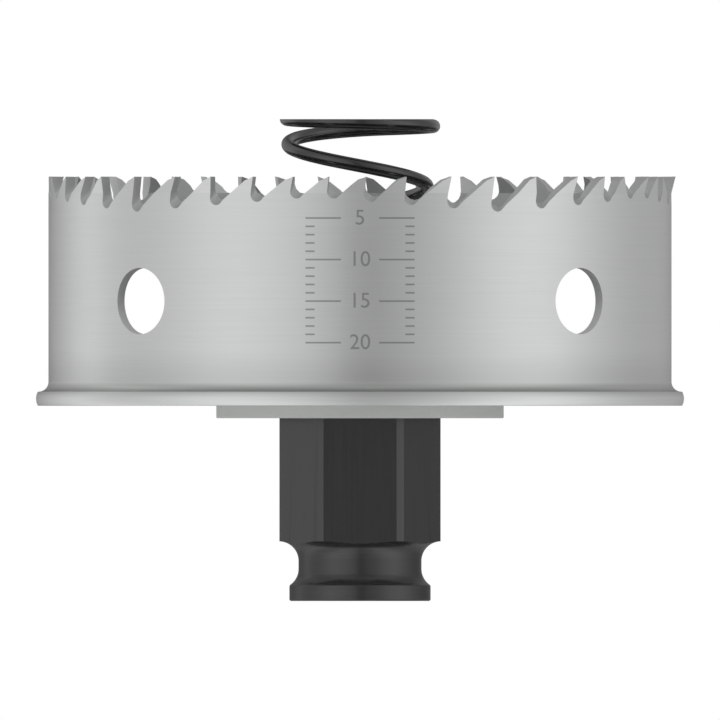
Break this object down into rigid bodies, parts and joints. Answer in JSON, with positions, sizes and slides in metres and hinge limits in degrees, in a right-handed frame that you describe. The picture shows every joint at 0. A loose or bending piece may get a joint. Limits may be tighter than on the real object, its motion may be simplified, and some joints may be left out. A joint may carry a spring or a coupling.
{
  "type": "hole saw",
  "caption": "Hole saw: a toothed steel cup on a hexagonal quick-change shank, with an ejector spring inside.",
  "frame": {"origin": "centre of the flat end of the shank, which the saw stands on", "axes": "+Z along the saw's axis, from the shank to the teeth; -Y towards the viewer, square to one flat of the hexagon"},
  "size_m": [0.078, 0.078, 0.058],
  "materials": {
    "ring_steel": "satin strip steel, rolled, with ground teeth",
    "base_steel": "satin sheet steel, turned edge",
    "hub_steel": "satin sheet steel, turned edge",
    "black_oxide": "black oxide on turned steel, satin",
    "spring_steel": "black oxide on spring wire, satin"
  },
  "bodies": {
    "root": {"saw_ring": "ring_steel", "base_flange": "base_steel", "hub_plate": "hub_steel", "shank": "black_oxide", "ejector_spring": "spring_steel"}
  },
  "joints": []
}
